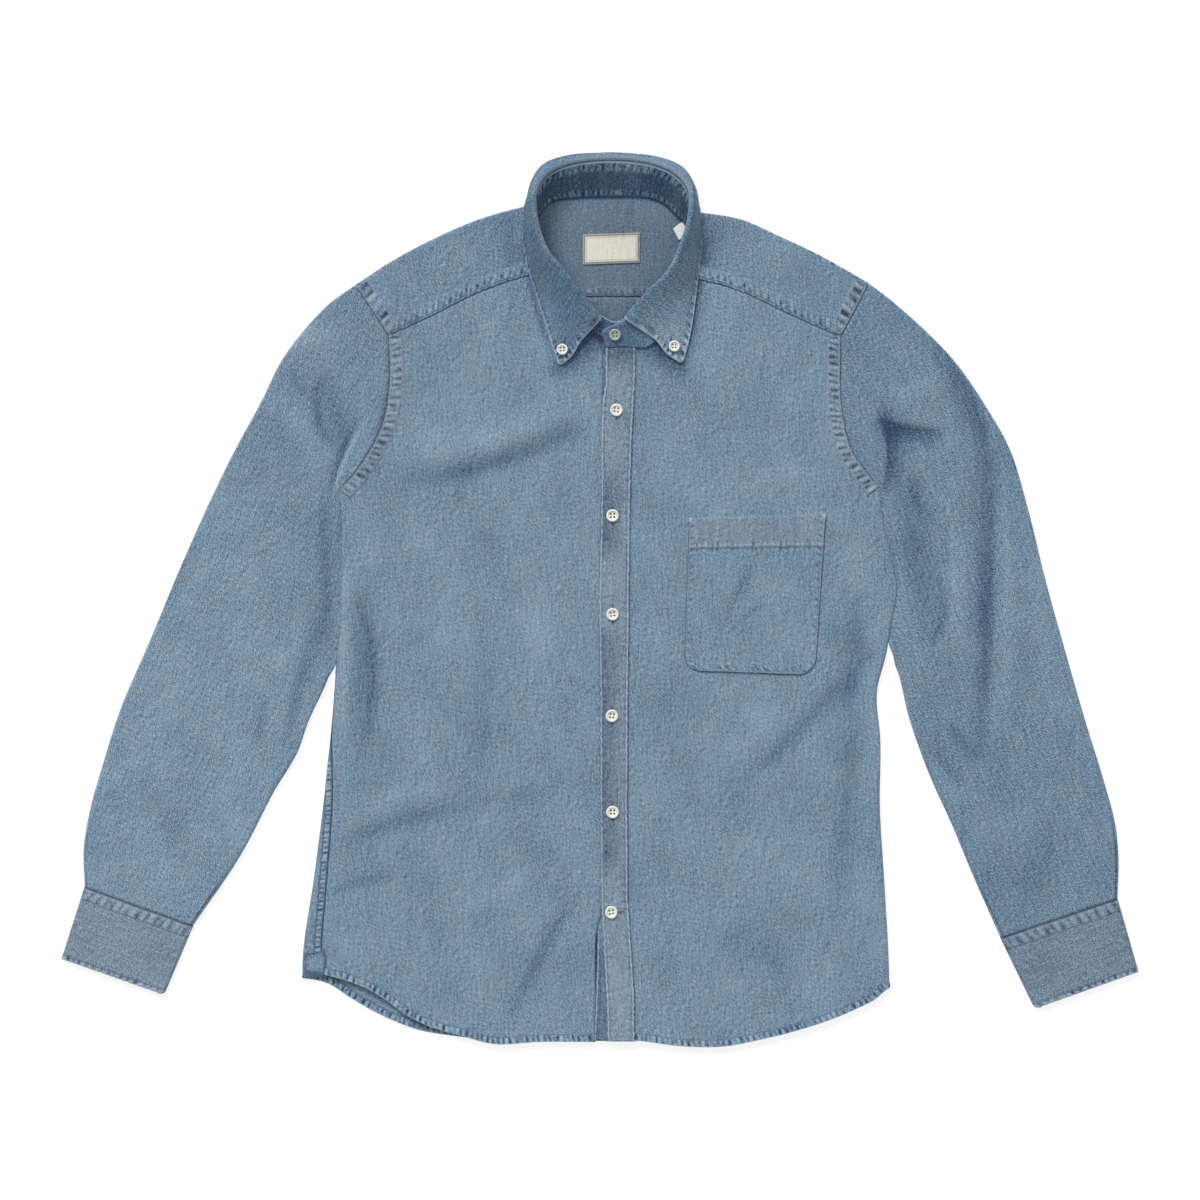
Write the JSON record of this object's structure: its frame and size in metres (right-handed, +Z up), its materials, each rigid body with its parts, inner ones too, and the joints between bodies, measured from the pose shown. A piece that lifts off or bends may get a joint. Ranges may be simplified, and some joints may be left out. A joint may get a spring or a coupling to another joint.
{
  "type": "chambray shirt",
  "caption": "Long-sleeved button-down shirt in washed chambray, buttoned up and laid flat, with a chest patch pocket, buttoned collar points and a curved hem",
  "frame": {"origin": "centre of the bounding box's underside, on the surface the shirt lies on", "axes": "+X to the wearer's left across both sleeves, +Y from the hem to the collar, +Z up from the surface"},
  "size_m": [1.0024, 0.8313, 0.0346],
  "materials": {
    "chambray": "washed blue-grey chambray, matt, fine twill grain",
    "band_cloth": "two layers of the same chambray, a little greyer from wear",
    "collar_cloth": "fused chambray, matt, rubbed pale along its edges",
    "label_tape": "woven tape, cream with a thin dark border",
    "tab_tape": "white woven tape",
    "button_shell": "cream, satin gloss, four holes"
  },
  "bodies": {
    "root": {"back": "chambray", "yoke": "chambray", "front_right": "chambray", "front_left": "chambray", "sleeve_right": "chambray", "sleeve_left": "chambray", "gusset": "chambray", "button_band": "band_cloth", "front_placket": "band_cloth", "pocket": "band_cloth", "cuff_right": "band_cloth", "cuff_left": "band_cloth", "collar_stand": "collar_cloth", "collar_leaf": "collar_cloth", "label": "label_tape", "size_tab": "tab_tape", "button_front_1": "button_shell", "button_front_2": "button_shell", "button_front_3": "button_shell", "button_front_4": "button_shell", "button_front_5": "button_shell", "button_front_6": "button_shell", "button_band_top": "button_shell", "button_point_right": "button_shell", "button_point_left": "button_shell"}
  },
  "joints": []
}
